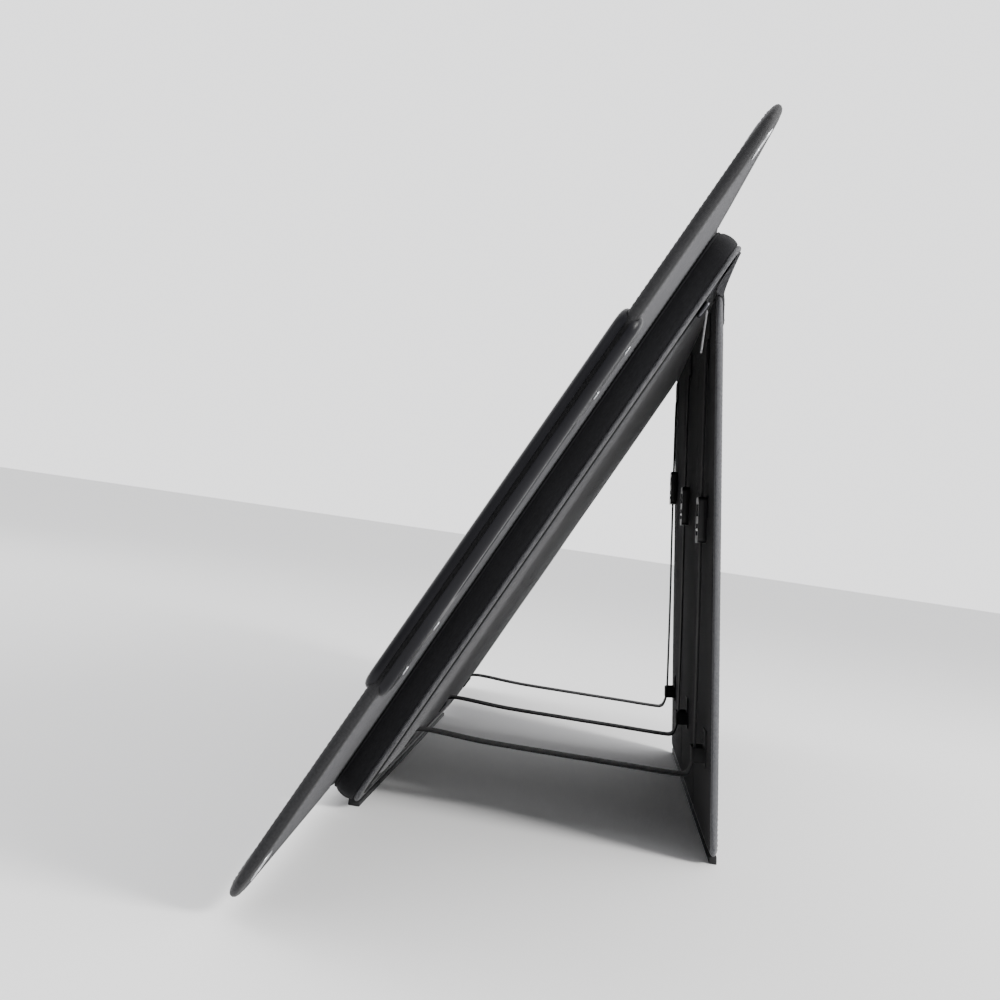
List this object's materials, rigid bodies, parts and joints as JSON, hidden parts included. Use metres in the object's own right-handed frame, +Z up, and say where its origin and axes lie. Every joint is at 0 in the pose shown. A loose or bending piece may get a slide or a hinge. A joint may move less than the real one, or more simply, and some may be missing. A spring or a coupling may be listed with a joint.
{
  "type": "folding solar panel",
  "caption": "Portable folding solar panel with moulded edge handles, standing on its padded zip case and the case's strapped rear flap.",
  "frame": {"origin": "on the floor, in the middle of the stance", "axes": "+Z up, the panel faces -Y, and the width runs along X"},
  "size_m": [1.2038, 0.316, 0.4992],
  "materials": {
    "border_fabric": "woven, matt",
    "cell_laminate": "dark monocrystalline cells under a textured film",
    "foam_board": "foam-cored board",
    "heather_fabric": "heather grey weave",
    "binding_tape": "ribbed binding tape",
    "webbing": "woven webbing",
    "buckle_plastic": "moulded, satin",
    "steel": "satin",
    "handle_plastic": "moulded, fine texture",
    "gusset_fabric": "dense woven, matt",
    "piping": "corded piping",
    "zipper_tape": "coil zipper tape",
    "zipper_metal": "gunmetal",
    "rubber": "matt",
    "housing_plastic": "moulded",
    "circuit_board": "solder mask"
  },
  "bodies": {
    "case": {"centre_front_cover": "border_fabric", "centre_laminate": "cell_laminate", "centre_board": "foam_board", "centre_back_cover": "heather_fabric", "centre_binding": "binding_tape", "right_fold_strip": "binding_tape", "left_fold_strip": "binding_tape", "case_front_panel": "foam_board", "case_gusset": "gusset_fabric", "case_back_pad": "heather_fabric", "case_piping": "piping", "zipper_tape": "zipper_tape", "case_base_strip": "rubber", "flap_hinge_strip": "heather_fabric", "strap_anchors": "webbing", "regulator_housing": "housing_plastic", "regulator_cover": "housing_plastic", "regulator_board": "circuit_board", "output_sockets": "steel", "right_strap_span": "webbing", "centre_strap_span": "webbing", "left_strap_span": "webbing"},
    "right_wing": {"right_front_cover": "border_fabric", "right_laminate": "cell_laminate", "right_board": "foam_board", "right_back_cover": "heather_fabric", "right_binding": "binding_tape", "right_handle_front": "handle_plastic", "right_handle_back": "handle_plastic", "right_handle_screws": "steel", "right_eyelets": "steel"},
    "left_wing": {"left_front_cover": "border_fabric", "left_laminate": "cell_laminate", "left_board": "foam_board", "left_back_cover": "heather_fabric", "left_binding": "binding_tape", "left_handle_front": "handle_plastic", "left_handle_back": "handle_plastic", "left_handle_screws": "steel", "left_eyelets": "steel"},
    "flap": {"flap_lining": "gusset_fabric", "flap_board_right": "foam_board", "flap_board_centre": "foam_board", "flap_board_left": "foam_board", "flap_cover": "heather_fabric", "flap_binding": "piping", "flap_foot": "rubber", "strap_keepers": "webbing", "right_strap_run": "webbing", "centre_strap_run": "webbing", "left_strap_run": "webbing"},
    "right_adjuster": {"right_buckle": "buckle_plastic", "right_buckle_bar": "steel"},
    "centre_adjuster": {"centre_buckle": "buckle_plastic", "centre_buckle_bar": "steel"},
    "left_adjuster": {"left_buckle": "buckle_plastic", "left_buckle_bar": "steel"},
    "slider": {"zipper_slider": "zipper_metal"},
    "pull": {"zipper_pull": "buckle_plastic"}
  },
  "joints": [
    {"name": "right_wing_fold", "type": "hinge", "parent": "case", "child": "right_wing", "pos_m": [0.3025, -0.15707, 0.01788], "axis": [0, -0.4462, -0.8949], "range_deg": [0, 180], "deforming": ["right_fold_strip"]},
    {"name": "left_wing_fold", "type": "hinge", "parent": "case", "child": "left_wing", "pos_m": [-0.3025, -0.15707, 0.01788], "axis": [0, 0.4462, 0.8949], "range_deg": [0, 180], "deforming": ["left_fold_strip"]},
    {"name": "flap_swing", "type": "hinge", "parent": "case", "child": "flap", "pos_m": [0, 0.09422, 0.44682], "axis": [1, 0, 0], "range_deg": [-28, 0], "deforming": ["right_strap_span", "centre_strap_span", "left_strap_span"]},
    {"name": "right_buckle_slide", "type": "slide", "parent": "flap", "child": "right_adjuster", "axis": [0, 0.1097, -0.994], "range_m": [-0.07, 0.165]},
    {"name": "centre_buckle_slide", "type": "slide", "parent": "flap", "child": "centre_adjuster", "axis": [0, 0.1097, -0.994], "range_m": [-0.052, 0.183]},
    {"name": "left_buckle_slide", "type": "slide", "parent": "flap", "child": "left_adjuster", "axis": [0, 0.1097, -0.994], "range_m": [-0.024, 0.211]},
    {"name": "zipper_run", "type": "slide", "parent": "case", "child": "slider", "axis": [0, -0.4462, -0.8949], "range_m": [0, 0.42]},
    {"name": "pull_swing", "type": "hinge", "parent": "slider", "child": "pull", "pos_m": [0.2896, 0.08834, 0.4274], "axis": [1, 0, 0], "range_deg": [-25, 60]}
  ]
}
